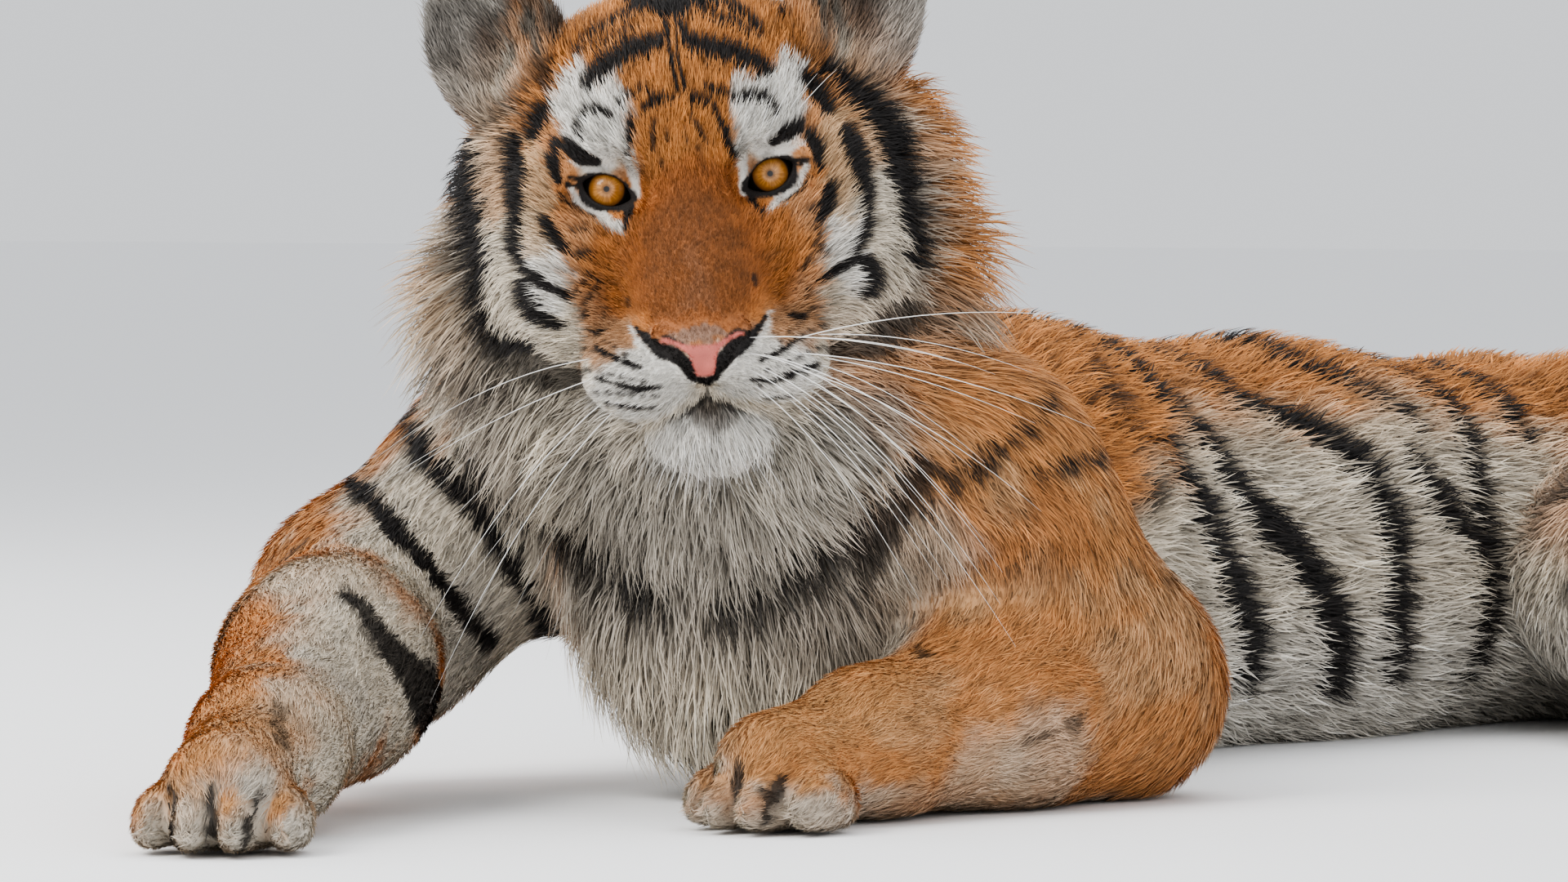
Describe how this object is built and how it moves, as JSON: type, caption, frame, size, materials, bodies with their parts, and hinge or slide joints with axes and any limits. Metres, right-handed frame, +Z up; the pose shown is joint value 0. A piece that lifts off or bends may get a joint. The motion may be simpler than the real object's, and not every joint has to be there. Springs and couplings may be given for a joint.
{
  "type": "siberian tiger",
  "caption": "Life-size still model of a Siberian tiger lying on its chest, head raised and turned to its left, forelegs stretched out, tail round its left haunch.",
  "frame": {"origin": "on the floor, under the middle of the animal's bounding box", "axes": "+Z up, -Y the way the body faces, +X the tiger's left"},
  "size_m": [0.8684, 2.1164, 0.658],
  "materials": {
    "orange_coat": "thick winter fur, orange with black stripes",
    "pale_coat": "long pale chest fur with faint dark bands",
    "eye_glass": "wet gloss"
  },
  "bodies": {
    "root": {"head": "orange_coat", "ear_left": "orange_coat", "ear_right": "orange_coat", "eye_left": "eye_glass", "eye_right": "eye_glass", "neck": "pale_coat", "trunk": "orange_coat", "foreleg_left": "orange_coat", "forepaw_left": "orange_coat", "foreleg_right": "orange_coat", "forepaw_right": "orange_coat", "hindleg_left": "orange_coat", "hindpaw_left": "orange_coat", "hindleg_right": "orange_coat", "hindpaw_right": "orange_coat", "tail_root": "orange_coat", "tail_middle": "orange_coat", "tail_tip": "orange_coat"}
  },
  "joints": []
}
